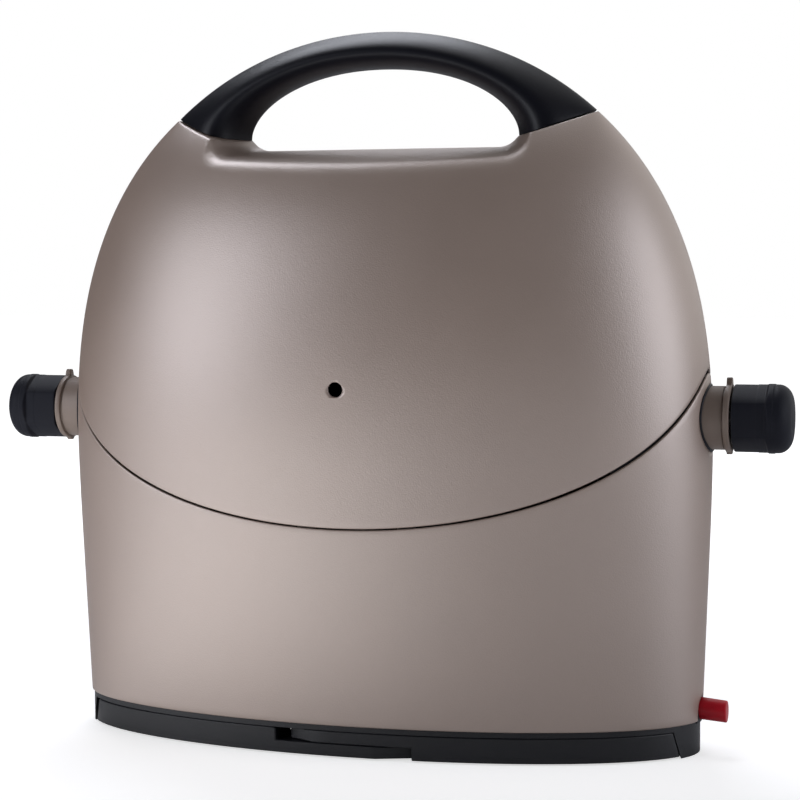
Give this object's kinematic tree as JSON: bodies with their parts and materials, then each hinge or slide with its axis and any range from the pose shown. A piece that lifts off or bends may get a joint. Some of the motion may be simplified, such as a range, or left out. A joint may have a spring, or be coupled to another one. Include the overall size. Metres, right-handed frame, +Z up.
{
  "type": "portable gas grill",
  "caption": "Closed portable gas grill with two half-dome wings that hinge open over a saddle-edged tub, half handles, gas knobs on collars and swing-out feet",
  "frame": {"origin": "centre of the footprint, on the table", "axes": "+X along the knob axis to the right, front is -Y, +Z up"},
  "size_m": [0.4508, 0.1776, 0.39],
  "materials": {
    "body_paint": "satin metallic champagne",
    "black_plastic": "matte",
    "steel": "brushed",
    "grill_plate": "dark non-stick coat",
    "brass": "satin",
    "rubber": "matte",
    "red_cap": "soft satin"
  },
  "bodies": {
    "base": {"tub_shell": "body_paint", "base_plate": "black_plastic", "foot_pins": "steel", "collar_left": "body_paint", "collar_right": "body_paint", "valve_left": "brass", "valve_right": "brass", "manifold": "brass", "bracket_front": "steel", "bracket_rear": "steel", "pin_front": "steel", "pin_rear": "steel"},
    "front_wing": {"front_shell": "body_paint", "front_handle": "black_plastic", "front_leaf": "steel", "front_pan": "steel", "front_studs": "steel", "front_burner": "steel", "front_plate": "grill_plate"},
    "rear_wing": {"rear_shell": "body_paint", "rear_handle": "black_plastic", "rear_leaf": "steel", "rear_pan": "steel", "rear_studs": "steel", "rear_burner": "steel", "rear_plate": "grill_plate"},
    "foot_fl": {"foot_fl": "black_plastic", "pad_fl": "rubber"},
    "foot_fr": {"foot_fr": "black_plastic", "pad_fr": "rubber"},
    "foot_rl": {"foot_rl": "black_plastic", "pad_rl": "rubber"},
    "foot_rr": {"foot_rr": "black_plastic", "pad_rr": "rubber"},
    "knob_left": {"knob_left": "black_plastic", "stem_left": "steel"},
    "knob_right": {"knob_right": "black_plastic", "stem_right": "steel"},
    "cap": {"inlet_cap": "red_cap"}
  },
  "joints": [
    {"name": "front_wing_hinge", "type": "hinge", "parent": "base", "child": "front_wing", "pos_m": [0, -0.07551, 0.1399], "axis": [1, 0, 0], "range_deg": [0, 90]},
    {"name": "rear_wing_hinge", "type": "hinge", "parent": "base", "child": "rear_wing", "pos_m": [0, 0.07551, 0.1399], "axis": [-1, 0, 0], "range_deg": [0, 90]},
    {"name": "foot_fl_pivot", "type": "hinge", "parent": "base", "child": "foot_fl", "pos_m": [-0.146, -0.023, 0.008], "axis": [0, 0, -1], "range_deg": [0, 90]},
    {"name": "foot_fr_pivot", "type": "hinge", "parent": "base", "child": "foot_fr", "pos_m": [0.146, -0.023, 0.008], "axis": [0, 0, 1], "range_deg": [0, 90]},
    {"name": "foot_rl_pivot", "type": "hinge", "parent": "base", "child": "foot_rl", "pos_m": [-0.146, 0.023, 0.008], "axis": [0, 0, 1], "range_deg": [0, 90]},
    {"name": "foot_rr_pivot", "type": "hinge", "parent": "base", "child": "foot_rr", "pos_m": [0.146, 0.023, 0.008], "axis": [0, 0, -1], "range_deg": [0, 90]},
    {"name": "knob_left_turn", "type": "hinge", "parent": "base", "child": "knob_left", "pos_m": [-0.2, 0, 0.18065], "axis": [-1, 0, 0], "range_deg": [0, 180]},
    {"name": "knob_right_turn", "type": "hinge", "parent": "base", "child": "knob_right", "pos_m": [0.2, 0, 0.18065], "axis": [1, 0, 0], "range_deg": [0, 180]},
    {"name": "cap_pull", "type": "slide", "parent": "base", "child": "cap", "axis": [1, 0, 0], "range_m": [0, 0.02]}
  ]
}
